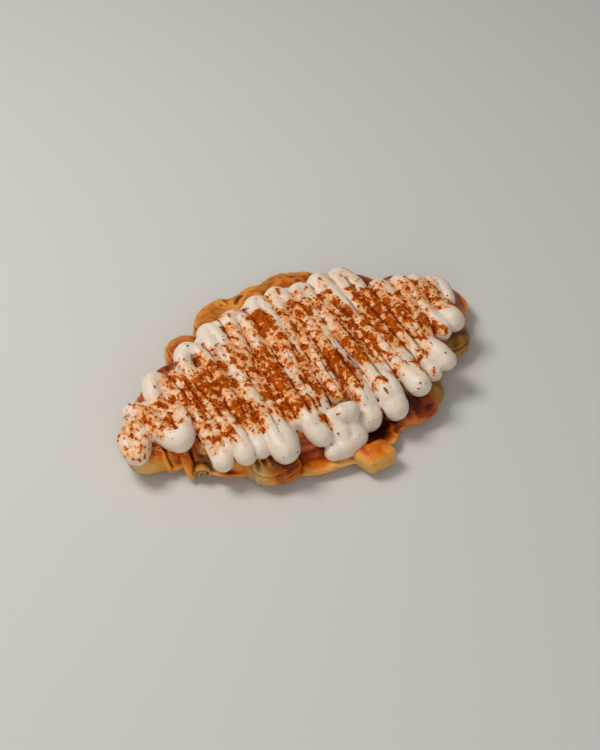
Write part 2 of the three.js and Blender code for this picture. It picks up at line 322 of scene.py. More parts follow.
def flap_distance(points, flap):
    along, across = turned(points, flap)
    down, out = rotated(along, points[..., 2] - flap.z, math.radians(-flap.tilt))
    return oval((down, across, out), (flap.long, flap.wide, flap.thick), boxy=2.0)


# %% The loose layer that curls at the front
CURL = (-59.4, -21.4, 4.9)  # middle of the rolled end
CURL_TURN = math.radians(-112)  # the way its open end faces
CURL_SIZE = 2.9  # its radius
CURL_LENGTH = 2.6  # half its length
CURL_WALL = 0.42  # half the sheet's thickness
CURL_TURNS = 1.7  # how many times the sheet goes round
CURL_START = 0.4  # how far round it starts, as a share of a turn
CURL_FLARE = 0.12  # how much it widens towards its open end
CURL_SPARE = 0.3  # how far its rim may stand out


def curl_place(points):
    """Offsets from the curl's middle: out of its open end, sideways, and up."""
    x, y, z = (points[..., i] - CURL[i] for i in range(3))
    return (*rotated(x, y, CURL_TURN), z)


def curl_room(points):
    """The room that the rolled end takes up."""
    out, sideways, up = curl_place(points)
    return np.maximum(np.hypot(sideways, up) - CURL_SIZE + CURL_WALL, np.abs(out) - CURL_LENGTH)


def curl_distance(points):
    """A thin sheet, rolled up."""
    out, sideways, up = curl_place(points)
    radius = np.hypot(sideways, up) - CURL_FLARE * out
    round_it = (np.arctan2(up, sideways) / math.tau) % 1.0 + CURL_START
    sheets = [np.abs(radius - CURL_SIZE * (round_it + n) / CURL_TURNS) for n in range(2)]
    wall = np.minimum(*sheets) - CURL_WALL
    rim = radius - CURL_SIZE - CURL_SPARE
    return np.maximum(np.maximum(wall, np.abs(out) - CURL_LENGTH), rim)


# %% The underside
LIFT = 2.7  # how far the rim of the crust stands off the plate
LIFT_REACH = 10.0  # how far in from the rim it touches down


def underside(points):
    """The iron leaves the underside flat, and the rim shrinks upwards as it cools."""
    plan = points[:, :, :1]
    depths = [-oval(turned(plan, roll), (roll.long, roll.wide)) for roll in ROLLS]
    depths += [-oval(turned(plan, lump), (lump.long, lump.wide)) for lump in RIMS + LUMPS]
    depth = np.maximum.reduce(depths)
    return points[..., 2] - LIFT * (1 - rise(depth, 0, LIFT_REACH))


# %% The crust's field
CRUST_STEP = 0.645  # spacing of the grid's points, mm
crust_field = Field((-92, -68, -1.8), (96, 63, 17), CRUST_STEP)
# What is done with which shapes, the level of their middles, their distance, and the blend.
for change, kind, level, distance, blend in (
    (crust_field.add, ROLLS, 6, roll_distance, 1.2),
    (crust_field.add, RIMS, 4, lump_distance, 1.2),
    (crust_field.cut, HOLLOWS, 8, lump_distance, 1.6),
    (crust_field.add, LUMPS, 6, lump_distance, 1.4),
):
    for shape in kind:
        reach = max(shape.long, shape.wide) + 4
        change((shape.x, shape.y, level), reach, lambda p: distance(p, shape), blend)
for change, kind, blend in ((crust_field.cut, CRACKS, 0.8), (crust_field.add, FLAPS, 0.9)):
    for shape in kind:
        change(shape[:3], shape.long + 3, lambda p: flap_distance(p, shape), blend)
crust_field.cut(CURL, 6, curl_room, 0.3)
crust_field.add(CURL, 6, curl_distance, 0.3)
crust_field.cut((2, -2, 0), 110, underside, 0.6)  # all over

crust_points, crust_faces = largest_piece(*crust_field.skin())
crust = mesh_object("crust_skin", crust_points, crust_faces)
print("crust:", count_triangles(crust), "triangles")

# %% Where the crust is pale, brown and red
# A patch is its middle x, y, z, how far it spreads in mm, and how much it adds.
# How much browner each place is; one patch is painted shade.
BROWNED_AND_SHADED = [
    # the left fold
    (-84, -8, 4, 6, -0.34), (-78, -13, 3, 5, -0.26), (-75, -11, 7, 5, -0.48),
    # the flat panel beside it
    (-68, -12, 8, 5, -0.25), (-62.5, -18, 3, 5, 0.1),
    # the pointed leaf
    (-64, -17, 6, 5, -0.2),
    # the curled end, the sheet above it, and the rim beside it
    (-59.5, -21.5, 5, 3.5, 0.4), (-57, -17, 10, 5.5, 0.64), (-50, -29, 5, 6, 0.12),
    # the left shoulder
    (-43, -39, 7, 5, -0.26), (-33, -41, 7, 6, 0.4), (-30, -34, 11, 6, 0.3),
    # between the shoulders; the strong patch at 11, -39 is painted shade in the pocket under the
    # cream
    (-20, -37, 8, 7, -0.02), (-6, -40, 8, 9, 0.2), (11, -39, 7, 8, 0.75), (10, -47, 6, 5, 0.22),
    (22, -42, 6, 6, 0.24), (-23, -43, 6, 5, -0.24), (-11, -51, 4, 4, -0.25),
    (-20, -44, 6, 5, 0.02),
    # the pale edge of the rim
    (-23, -47.5, 3, 3.5, -0.4), (-15, -50, 3, 3.5, -0.42), (-8, -53, 3, 4, -0.5),
    # the loose end and its neck
    (-5, -56, 5, 5, -0.4), (4, -63, 5, 6, -0.46), (14, -58, 5, 5, -0.46), (4, -56, 14, 7, -0.14),
    (16, -51, 4, 4, -0.3), (18, -46, 5, 5, -0.02),
    # the right shoulder, the petal and the right tip
    (33, -43, 8, 8, 0.42), (30, -38, 10, 8, 0.35), (36, -48, 2, 7, 0.2), (45, -42, 8, 5, -0.1),
    (48, -39, 7, 6, 0.06), (73, -22, 7, 9, 0.2), (90, 0, 7, 8, 0),
    # the back lip
    (-12, 53, 10, 8, -0.27), (4, 57, 10, 8, -0.18), (16, 57, 10, 9, -0.2), (30, 55, 10, 8, -0.27),
    (39, 51, 10, 6, -0.16),
    # the inner side of the lip
    (-12, 50, 12, 4, 0.22), (3, 54, 12, 3, 0.34), (28, 50, 12, 4, 0.22),
    # the golden hump and the folds along the back
    (-35, 42, 11, 8, -0.02), (-49, 31, 12, 6, 0.4), (-65, 22, 11, 5, 0.14), (56, 33, 12, 6, 0.42),
    (67, 28, 11, 6, 0.12),
]
# Where sugar caramelised.
REDDENED = [
    (-73, -9, 8, 5, 1.3), (-68, -12, 8, 6, 1.5), (-62.5, -17, 3, 6, 0.8), (-64, -17, 6, 5, 0.3),
    (-51, -30, 4, 5, 0.8), (-31, -42, 7, 6, 0.5), (-22, -38, 8, 8, 0.7), (-20, -45, 5, 6, 1),
    (-2, -42, 6, 9, 0.6), (4, -56, 15, 8, 1.7), (18, -46, 6, 7, 1), (32, -43, 8, 8, 0.8),
    (40, -45, 4, 7, 0.9), (-57, -16, 9, 4, 0.9), (90, 0, 7, 8, 0.4), (-49, 31, 11, 6, 0.6),
    (-65, 22, 10, 5, 0.5), (56, 33, 11, 7, 0.7), (28, 52, 12, 4, 0.4), (-12, 50, 12, 4, 0.4),
]
# Where the dough never took the colour of the iron and stays a greyish olive.
RAW = [
    (-81, -12, 3, 5, 0.3),
    # the curled end and the sheet above it
    (-57, -15, 8, 4, 0.55), (-60, -22, 5, 4, 1.2),
    # the shoulders, the petal and the right tip
    (-43.5, -39, 7, 5.5, 0.9), (48, -39, 7, 7, 1.3), (73, -22, 7, 9, 1.1), (84, -8, 5, 5, 0.4),
    # the hump, the back lip and the folds along the back
    (-36, 43, 10, 7, 0.35), (-25, 46, 8, 6, 0.3),
    (-12, 53, 10, 8, 0.32), (5, 57, 10, 8, 0.3), (20, 57, 9, 8, 0.36), (33, 54, 9, 7, 0.32),
    (70, 26, 10, 6, 0.6),
]


def patchwork(points, patches):
    """Sum of soft round patches at each point."""
    total = np.zeros(len(points))
    for *middle, reach, amount in patches:
        total += amount * np.exp(-((points - middle) ** 2).sum(axis=1) / reach**2)
    return total


# %% Where a mesh is hollow
def neighbour_means(mesh, values, rounds):
    """Values of a mesh's points, averaged with their neighbours a number of times."""
    ends = np.empty(len(mesh.edges) * 2, np.int32)
    mesh.edges.foreach_get("vertices", ends)
    first, second = ends[0::2], ends[1::2]
    size = len(mesh.vertices)
    share = np.bincount(first, minlength=size) + np.bincount(second, minlength=size)
    values = values.copy()
    for _ in range(rounds):
        for column in values.T:
            total = np.bincount(first, column[second], size)
            total += np.bincount(second, column[first], size)
            column[:] = 0.5 * column + 0.5 * total / np.maximum(share, 1)
    return values


def sunken(mesh, rounds):
    """How far each point lies under the mean of its neighbourhood, in millimetres."""
    points, normals = plan_points(mesh)
    return ((neighbour_means(mesh, points, rounds) - points) * normals).sum(axis=1)


# %% Relief of the crust
LAYER = 2.5  # thickness of the layers that show at the sides, mm
# Smooth, stretched skin, where neither layers nor creases show.
CALM = [
    (-77, -10, 7, 6, 0.9), (-69, -12, 8, 5, 0.8), (-64, -17, 6, 5, 0.8), (-34, -42, 8, 7, 0.7),
    (-20, -38, 7, 9, 1), (-20, -46, 5, 6, 0.6), (14, -43, 6, 9, 0.6), (-3, -57, 7, 6, 1),
    (4, -56, 9, 8, 1), (11, -58, 7, 6, 1), (89, 0, 8, 7, 0.6),
]


def crust_relief(points, normals):
    """How far each point of the crust moves along its normal, in millimetres."""
    # Soft lumps, and creases where smooth noise passes through zero.
    creases = 0.3 - np.abs(bumps(points * (1, 1, 0.6), 5.5, 24))
    lumpy = 0.5 * bumps(points, 7, 12) + 0.22 * bumps(points, 3.2, 19)
    lumpy += 0.9 * creases * rise(bumps(points, 15, 25), -0.3, 0.3)
    # Blisters where the dough stayed pale, because it puffed up there.
    bubbles = np.abs(bumps(points, 2.6, 17)) + 0.6 * np.abs(bumps(points, 1.5, 18))
    puffed = rise(-patchwork(points, BROWNED_AND_SHADED), 0.12, 0.3)
    puffed *= 1 - 0.35 * rise(normals[:, 2], 0.6, 0.9)
    # Wavy layers at the sides, each with a step at its edge.
    side = 1 - rise(np.abs(normals[:, 2]), 0.5, 0.95)
    wave = 2.2 * bumps(points, 17, 14) + 0.8 * bumps(points, 6, 15)
    edges = 0.5 - (points[:, 2] + wave) / LAYER % 1.0
    open_layers = rise(bumps(points, 11, 16), -0.1, 0.35)
    layered = 0.75 * edges * side * open_layers * (1 - puffed)
    calm = np.clip(patchwork(points, CALM), 0, 1)
    return (lumpy + layered + 0.9 * bubbles * puffed) * (1 - 0.85 * calm)


points, normals = plan_points(crust.data)
off_base = rise(points[:, 2], 0.2, 1.6)
drift = np.column_stack([bumps(points, 14, seed) for seed in (31, 32, 33)]) * (1.0, 1.0, 0.6)
drift += normals * crust_relief(points, normals)[:, None]
points += drift * off_base[:, None]
points[:, 2] = np.maximum(points[:, 2], 0)
move_points(crust.data, points)

# %% Browning of the crust, and painted shade in its hollows
GOLDEN = 0.40  # browning of an upright side, halfway up
points, normals = plan_points(crust.data)
# The iron browned what faces up and stands high, and patches. Hollows and folds are darkened too,
# which is painted shade.
bake = GOLDEN + 0.16 * normals[:, 2] + 0.012 * (points[:, 2] - 6)
bake += 0.15 * bumps(points, 12, 21) + 0.13 * bumps(points, 4.5, 22)
bake += patchwork(points, BROWNED_AND_SHADED) + 0.6 * np.clip(sunken(crust.data, 12), -0.3, 0.6)
bake += 2.2 * np.clip(sunken(crust.data, 3), -0.06, 0.12)
redness = patchwork(points, REDDENED) + 0.3 * bumps(points, 9, 23)
raw = patchwork(points, RAW) + 0.35 * bumps(points, 6, 26)
for name, values in (("bake", bake), ("redness", redness), ("raw", raw)):
    store(crust.data, name, np.clip(values, 0, 1))
    print(name, "from", round(values.min(), 2), "to", round(values.max(), 2))

# %% [markdown]
# ## The cream
#
# The cream is one rope, piped to and fro. It is laid here as the baker laid it: the turning
# points along the front and the back are listed, and everything between them follows.
# Its height comes from the crust: the middle of the rope runs where a ball of its size would
# roll. Where the bag slowed down at a turn the rope is fat, and some passes are slim and lie low
# between their neighbours. A curve with a round bevel would keep hard joints where passes touch,
# so balls are strung along the route and fused in a volume, where they flow together.

# %% Where the rope turns
# x, y: the outermost point of the loop's middle line. half: half the distance between its two
# passes. fat: width there, as a share of the usual width. lean: how far the two passes lie to
# the right of the tip. slim, bow: width and sideways bend of the pass that leaves the turn.
Turn = namedtuple("Turn", "x y half fat lean slim bow", defaults=(1.05, 0, 1, 0))
FRONT_TURNS = shapes(Turn, [
    (-81.4, -7.4, 3.3, 1.02, 2), (-64, -11.6, 6, 1.28, 1.2, 0.8, -0.8),
    (-54, -28.6, 0.7, 1.1, 1.2, 0.9), (-45.4, -32.4, 0.7, 1.06, 1),
    (-38.4, -33.2, 0.5, 0.96, 0.5, 0.8), (-30.4, -39.8, 1.7, 1.3, 0.8, 0.85),
    (-12.2, -39.2, 1.2, 1.16, -0.8, 0.85, 2.2), (-6.6, -35, 0.8, 1, 0, 0.8),
    (8.6, -41, 0.7, 1.15, 4.2, 0.9), (22.4, -43.4, 1.3, 1.2, 1.2, 0.8),
    (37, -39.4, 1, 1.25, 0.3, 0.9), (48, -35, 0.4, 0.95, 0, 0.85), (55, -27, 1, 1, -1),
    (64.6, -19, 0.8, 1, 1.5, 0.8), (73.2, -15, 0.9, 1.4, 0.4, 0.8),
])
BACK_TURNS = shapes(Turn, [
    (-72.6, 12.4, 3.4, 1.2), (-57.5, 22.8, 3.6, 1.15, 0, 0.88, 1.4), (-47.5, 20, 0.6),
    (-36.6, 31, 4.8, 1.15), (-22.8, 36.8, 2.4, 1.1), (-9.8, 37.4, 3.6, 1.1, 0, 1, -1.5),
    (4, 40, 2.6, 1.1, 0, 1, -1), (14.8, 40.4, 2.4, 1.1, 0, 1, 2), (25.4, 37.4, 2),
    (35.5, 36.9, 1.4, 1.1), (46.2, 35, 2.6, 1.2), (57.5, 20.2, 1.8), (67, 17.8, 1.6),
    (73.4, 14.6, 1.2, 1), (80, 11.4, 2.2, 0.92),
])
ROPE = 4.0  # half the usual width of the rope
SINK = 1.0  # how deep it settles onto the crust
DROOP = 12.0  # lowest level of its middle, where it reaches over an edge
SPACING = 1.2  # between the points of its route
SMOOTHING = 9  # points of the route over which its height is averaged
RINGS = (0.45, 0.85)  # where a rolling ball is tried against the crust, as shares of its radius
SPOKES = 8

crust_tree = BVHTree.FromPolygons(((points - MIDDLE) * MM).tolist(), crust_faces.tolist())


def crust_top(x, y):
    """Height of the crust above a point of the plan, in mm, or 0 beside the crust."""
    start = Vector(((x - MIDDLE[0]) * MM, (y - MIDDLE[1]) * MM, 0.1))
    hit = crust_tree.ray_cast(start, Vector((0, 0, -1)))[0]
    return hit.z / MM if hit else 0.0


def rolling_height(x, y, radius):
    """Height of the middle of a ball that rests on the crust there."""
    height = crust_top(x, y) + radius
    for share in RINGS:
        for spoke in range(SPOKES):
            angle = math.tau * spoke / SPOKES
            dx, dy = share * radius * math.cos(angle), share * radius * math.sin(angle)
            height = max(height, crust_top(x + dx, y + dy) + radius * math.sqrt(1 - share**2))
    return height


def smooth_route(corners, spacing):
    """A curve through the corners, as points about `spacing` mm apart."""
    corners = np.array(corners, float)
    ends = np.vstack([2 * corners[0] - corners[1], corners, 2 * corners[-1] - corners[-2]])
    route = []
    for a, b, c, d in zip(ends, ends[1:], ends[2:], ends[3:]):
        steps = max(2, int(np.linalg.norm((c - b)[:2]) / spacing))
        for t in np.arange(steps) / steps:
            bend = (2 * a - 5 * b + 4 * c - d) * t**2 + (3 * b - a - 3 * c + d) * t**3
            route.append(0.5 * (2 * b + (c - a) * t + bend))
    route.append(corners[-1])
    return np.array(route)


# x, y and width where the rope begins and where it ends.
START = (-76.5, 7.5, 0.95)
FINISH = (80.4, -3.0, 0.8)


def zigzag_corners():
    """The plan and width of the zigzag: each loop's shoulders and tip, and each pass's middle."""
    loops = []
    for pair in zip(FRONT_TURNS, BACK_TURNS):
        for turn, out in zip(pair, (-1, 1)):
            # The shoulders of a wide loop lie further in from its tip.
            shoulder = turn.y - out * (1.2 * turn.half + 3.0)
            middle, width = turn.x + turn.lean, (1 + turn.fat) / 2
            left, right = middle - turn.half, middle + turn.half
            tip = (turn.x, turn.y, turn.fat)
            loops.append([(left, shoulder, width), tip, (right, shoulder, width)])
    corners = [START]
    turns = [turn for pair in zip(FRONT_TURNS, BACK_TURNS) for turn in pair]
    for loop, following, turn in zip(loops, loops[1:], turns):
        x, y = (np.array(loop[2][:2]) + following[0][:2]) / 2
        corners += [*loop, (x + turn.bow, y, turn.slim)]
    return corners + loops[-1] + [FINISH], loops


def settled(plan):
    """Route points x, y, z and width, from points of x, y and width laid on the crust."""
    heights = [rolling_height(x, y, width * ROPE) - SINK for x, y, width in plan]
    kernel = np.hanning(SMOOTHING) / np.hanning(SMOOTHING).sum()
    heights = np.pad(np.maximum(heights, DROOP), SMOOTHING // 2, mode="edge")
    heights = np.convolve(heights, kernel, mode="valid")
    return np.column_stack([plan[:, :2], heights, plan[:, 2]])


zigzag_points, zigzag_loops = zigzag_corners()
zigzag = settled(smooth_route(zigzag_points, SPACING))
zigzag[:, 3] *= 1 + 0.09 * bumps(zigzag[:, :3], 12, 41) + 0.05 * bumps(zigzag[:, :3], 4.5, 42)
zigzag[:, 2] += 0.6 * bumps(zigzag[:, :3] * (1.0, 0.4, 1.0), 9, 43)
top = (zigzag[:, 2] + ROPE * zigzag[:, 3]).max()
print("zigzag:", len(zigzag), "points, up to", round(top, 1), "mm")

# %% The run, the blob and the smears
# x, y, z and width at the points of the short strands.
SHORT_STRANDS = [
    # the run of cream that slid down over the rim, and its foot
    [(1, -35.5, 16.5, 1.1), (1.2, -40, 13, 1.15), (1.6, -44.4, 9.8, 1.25), (-4, -46.4, 8.6, 1.15),
     (-10.8, -45.4, 8.2, 1)],
    # the cream behind the foot
    [(-3, -35, 16.5, 0.95), (-3.4, -40.5, 12.6, 1.15), (-4.4, -44, 9.6, 1.2)],
    [(-9.6, -38, 12.4, 0.8), (-8.8, -40.8, 10.6, 0.85), (-7.8, -43.6, 8.8, 0.85)],
    # the blob that it slid from
    [(-0.6, -37, 18.4, 1.08), (2.6, -37.6, 18.2, 1.12)],
    # a fat lobe near the right tip
    [(55.4, -33.8, 16.4, 1.2), (54.6, -28.5, 17.6, 1.22), (53.6, -23, 17.6, 1.05)],
    # a thin strand between two passes
    [(-24.4, -12, 16.6, 0.6), (-22.8, -24, 15.4, 0.62), (-22.8, -33, 12.8, 0.6),
     (-24.8, -38.5, 11, 0.5)],
]
# x, y of both ends of the thin smears that close the wide gaps, their width, and how far
# they stand above the crust.
SMEARS = [
    (13, 6, 13, -30, 1.35, 3.4), (26, 0, 26.5, -26, 1.3, 4), (-15, 4, -14.5, -28, 1.4, 3.8),
    (-49.5, 12, -49, -10, 1, 3.6), (34, 26, 35, 8, 1.1, 3.6), (-38, 12, -36, -24, 1.6, 5.6),
    (45, 15, 47, -16, 1.6, 5.6), (1, 24, 1, -6, 1, 4), (-76, 5.5, -66, 5, 1.1, 5.8),
    (-67, 12, -61, 2, 1.1, 5.8), (-80, 1, -74, 7, 1.1, 5.4),
    # along the back, where neighbouring loops touch
    (-30, 30, -26, 33, 1, 6.2), (-19, 36.2, -14, 36.6, 1, 6.4), (-5.5, 37.6, -1, 38.6, 1, 6.4),
    (8, 39.6, 11.5, 39.8, 1, 6.4), (18.5, 38.4, 22.5, 37, 1, 6.4),
    (29, 36.6, 32.5, 36.2, 0.95, 6.2), (39, 35.2, 43, 34.8, 0.9, 6), (60, 19.5, 65, 18, 0.9, 5.6),
    (68.5, 17, 73, 13.5, 0.9, 5.6),
    # in front, where loops ran together
    (-50, -12, -49.6, -25.5, 0.95, 6.6), (-42, -14, -41.8, -28.5, 0.95, 6.6),
    (-36, -16, -35.6, -30, 1, 6.4),
]
OPEN_GAPS = (2, 16)  # numbers of the gaps between passes that stay open down to the crust
SQUEEZED = 5.7  # height above the crust of the cream squeezed up between two passes
UNEVEN = 0.7  # how much that height changes from gap to gap
SHORTER = 0.12  # share of a gap's length left free at each end


def smear_route(x0, y0, x1, y1, width, top):
    plan = smooth_route([(x0, y0, width), (x1, y1, width)], SPACING)
    heights = [crust_top(x, y) + top - width * ROPE for x, y in plan[:, :2]]
    return np.column_stack([plan[:, :2], heights, plan[:, 2]])


def squeezed_smears():
    """A smear between each pass and the next, clear of the loops at their ends."""
    passes = []
    for loop, following in zip(zigzag_loops, zigzag_loops[1:]):
        ends = sorted((loop[2][:2], following[0][:2]), key=lambda end: end[1])
        passes.append(np.array(ends))
    smears = []
    for number, (one, two) in enumerate(zip(passes, passes[1:])):
        low, high = (one + two) / 2
        clear = (high - low) * SHORTER
        if number not in OPEN_GAPS:
            top = SQUEEZED + UNEVEN * math.sin(number * 2.3)
            smears.append((*(high - clear), *(low + clear), 0.95, top))
    return smears


def rope_curve(name, routes):
    """A curve object with one spline for each route of (x, y, z, width) points."""
    curve = bpy.data.curves.new(name, "CURVE")
    curve.dimensions = "3D"
    for route in routes:
        spline = curve.splines.new("POLY")
        spline.points.add(len(route) - 1)
        for point, (*place, width) in zip(spline.points, route):
            point.co = (*((np.array(place) - MIDDLE) * MM), 1.0)
            point.radius = width
    return new_object(name, curve)


routes = [zigzag]
routes += [smooth_route(strand, 0.8) for strand in SHORT_STRANDS]
routes += [smear_route(*smear) for smear in SMEARS + squeezed_smears()]
rope = rope_curve("rope_route", routes)

# %% [markdown]
# ## Node trees written as sums
#
# Materials and Geometry Nodes are both trees of small steps. One class wraps an output socket so
# that Python arithmetic on it adds the Math nodes, and one method makes every other node.

# %% A socket that takes part in arithmetic
class Wire:
    """An output socket of a node tree."""

    def __init__(self, tree, socket=None):
        self.tree = tree
        self.socket = socket

    def node(self, kind, settings=None, values=None, output=0):
        """Adds a node: its settings first, then the values or links of its sockets."""
        node = self.tree.nodes.new(kind)
        for name, value in (settings or {}).items():
            if name == "stops":
                set_stops(node.color_ramp, value)
            else:
                setattr(node, name, value)
        for name, value in (values or {}).items():
            plug(self.tree, find_socket(node.inputs, name), value)
        return Wire(self.tree, find_socket(node.outputs, output))

    def math(self, operation, *values):
        sockets = dict(enumerate(values))
        return self.node("ShaderNodeMath", {"operation": operation}, sockets)

    def __add__(self, other):
        return self.math("ADD", self, other)

    def __sub__(self, other):
        return self.math("SUBTRACT", self, other)

    def __rsub__(self, other):
        return self.math("SUBTRACT", other, self)

    def __mul__(self, other):
        return self.math("MULTIPLY", self, other)

    __radd__ = __add__
    __rmul__ = __mul__

    def clamp(self):
        return self.node("ShaderNodeClamp", {}, {"Value": self})

    def slope(self, low, high):
        """0 below low, 1 above high, smooth between."""
        ends = {"Value": self, "From Min": low, "From Max": high}
        return self.node("ShaderNodeMapRange", {"interpolation_type": "SMOOTHSTEP"}, ends)

    def stretch(self, x, y, z):
        """A vector with its parts multiplied."""
        factors = {0: self, 1: (x, y, z)}
        return self.node("ShaderNodeVectorMath", {"operation": "MULTIPLY"}, factors)

    def noise(self, scale, detail=3.0, roughness=0.55, distortion=0.0):
        """Noise at a place, mostly from 0.25 to 0.75, with `scale` bumps to the metre."""
        values = {"Vector": self, "Scale": scale, "Detail": detail}
        values |= {"Roughness": roughness, "Distortion": distortion}
        return self.node("ShaderNodeTexNoise", {}, values)

    def blend(self, first, second):
        """A colour that goes from the first to the second as this wire goes from 0 to 1."""
        sockets = {0: self, 6: first, 7: second}
        return self.node("ShaderNodeMix", {"data_type": "RGBA"}, sockets, output=2)


def find_socket(sockets, name):
    """A node's socket by its place in the list, or by its name among those in use."""
    if isinstance(name, int):
        return sockets[name]
    return next(socket for socket in sockets if socket.name == name and socket.enabled)


def plug(tree, socket, value):
    """Links a wire to a socket, or sets the socket's own value."""
    if isinstance(value, Wire):
        tree.links.new(value.socket, socket)
    elif socket.type == "RGBA":
        socket.default_value = (*value[:3], 1.0)
    else:
        socket.default_value = value


def set_stops(ramp, stops):
    """Gives a colour ramp its stops, as (place, colour) pairs."""
    while len(ramp.elements) < len(stops):
        ramp.elements.new(1.0)
    for element, (place, colour) in zip(ramp.elements, stops):
        element.position = place
        element.color = (*colour, 1.0)


# %% Geometry trees
def new_tree(name, inputs):
    """A Geometry Nodes group with named inputs; gives it with its input wires and output."""
    tree = bpy.data.node_groups.new(name, "GeometryNodeTree")
    tree.interface.new_socket("Geometry", in_out="INPUT", socket_type="NodeSocketGeometry")
    for label, kind in inputs.items():
        tree.interface.new_socket(label, in_out="INPUT", socket_type="NodeSocket" + kind)
    tree.interface.new_socket("Geometry", in_out="OUTPUT", socket_type="NodeSocketGeometry")
    start = tree.nodes.new("NodeGroupInput")
    end = tree.nodes.new("NodeGroupOutput")
    return tree, {socket.name: Wire(tree, socket) for socket in start.outputs}, end


def finish_tree(tree, end, geometry, material):
    """Ends a tree: instances made real, and the material set."""
    make = Wire(tree).node
    geometry = make("GeometryNodeRealizeInstances", {}, {"Geometry": geometry})
    coated = make("GeometryNodeSetMaterial", {}, {"Geometry": geometry, "Material": material})
    plug(tree, end.inputs["Geometry"], coated)
    return tree


def apply_tree(piece, name, tree, values):
    """Runs a tree on an object, and gives the result as a new plain mesh object."""
    modifier = piece.modifiers.new(name, "NODES")
    modifier.node_group = tree
    for item in tree.interface.items_tree:
        if item.in_out == "INPUT" and item.name in values:
            modifier[item.identifier] = values[item.name]
    graph = bpy.context.evaluated_depsgraph_get()
    mesh = bpy.data.meshes.new_from_object(piece.evaluated_get(graph))
    piece.modifiers.remove(modifier)
    return new_object(name, mesh)


# %% Sweeping and fusing the rope
def rope_tree(material):
    """Strings balls of cream along the route, fuses them, and softens the skin."""
    inputs = {"Half width": "Float", "Grain": "Float", "Softening": "Int"}
    tree, given, end = new_tree("piped_rope", inputs)
    make = Wire(tree).node
    values = {"Curve": given["Geometry"], "Length": given["Grain"] * 0.8}
    beads = make("GeometryNodeCurveToPoints", {"mode": "LENGTH"}, values)
    size = make("GeometryNodeInputRadius") * given["Half width"]
    values = {"Points": beads, "Density": 1.0, "Voxel Size": given["Grain"], "Radius": size}
    fog = make("GeometryNodePointsToVolume", {"resolution_mode": "VOXEL_SIZE"}, values)
    values = {"Volume": fog, "Threshold": 0.15}
    fused = make("GeometryNodeVolumeToMesh", {"resolution_mode": "GRID"}, values)
    values = {"Value": make("GeometryNodeInputPosition"), "Iterations": given["Softening"]}
    softer = make("GeometryNodeBlurAttribute", {"data_type": "FLOAT_VECTOR"}, values)
    fused = make("GeometryNodeSetPosition", {}, {"Geometry": fused, "Position": softer})
    fused = make("GeometryNodeSetShadeSmooth", {}, {"Geometry": fused})
    return finish_tree(tree, end, fused, material)


# %% [markdown]
# ## The finishes
#
# The crust's colour comes from how much it is browned, with painted shade added in its hollows
# and folds, which is stored at each point of its mesh: pale dough, gold, amber, brown and nearly
# black. Where sugar caramelised it is redder and glossier. Fine noise breaks up both. The cream is
# a warm white that lets a little light in. The powder lies on both, so its pattern is one function
# of place and density, used by the materials and by the trees that give the powder its thickness
# and its loose grains.

# %% The pattern of the powder
# A thick clump goes from dark to light. The cream is tinted by a veil where dust is fine and by a
# film beside the clumps. Its creases and seams are darker still, partly from powder that gathered
# there and partly painted shade.
POWDER_DARK = (0.19, 0.018, 0.0003)
POWDER_LIGHT = (0.57, 0.103, 0.002)
POWDER_VEIL = (0.84, 0.46, 0.15)
POWDER_FILM = (0.78, 0.26, 0.024)
# Creases: powder that gathered there, darkened further as painted shade.
CREASE_POWDER_AND_SHADE = (0.42, 0.17, 0.05)
# Seams: powder in the joints, darkened further as painted shade.
SEAM_POWDER_AND_SHADE = (0.17, 0.035, 0.004)


def powder_pattern(place, dust):
    """Clumps of powder, 0 or 1 with soft rims, and the haze of fine dust around them."""
    drawn_out = place.stretch(1.0, 0.62, 1.0)  # clumps are longer from front to back
    coarse = drawn_out.noise(370.0, detail=2.0, distortion=0.3)
    specks = place.noise(640.0, detail=1.0)
    clumps = coarse * 0.76 + specks * 0.24 - 0.675 + dust * 0.245
    crumbs = specks - 0.765 + dust * 0.18
    amount = clumps.math("MAXIMUM", clumps, crumbs) + dust.slope(0.0, 0.06) * 0.3 - 0.3
    haze = amount.slope(-0.17, 0.0) * dust.slope(0.1, 0.5)
    return amount.slope(-0.018, 0.03), haze


# %% Materials and what they read
def new_material(name):
    """A material with only its output and shader; gives it with a wire to make nodes from."""
    material = bpy.data.materials.new(name)
    material.use_nodes = True
    tree = material.node_tree
    shader = next(node for node in tree.nodes if node.type == "BSDF_PRINCIPLED")
    return material, Wire(tree), shader


def set_shader(wire, shader, **values):
    """Sets or links the shader's sockets, named with _ for each space."""
    for name, value in values.items():
        plug(wire.tree, shader.inputs[name.replace("_", " ")], value)


def attribute(wire, name):
    return wire.node("ShaderNodeAttribute", {"attribute_name": name}, output=2)


def raised(wire, height, distance, under=None):
    """A normal bent by a height from 0 to 1, `distance` metres high."""
    values = {"Strength": 1.0, "Distance": distance, "Height": height}
    if under:
        values["Normal"] = under
    return wire.node("ShaderNodeBump", {}, values)


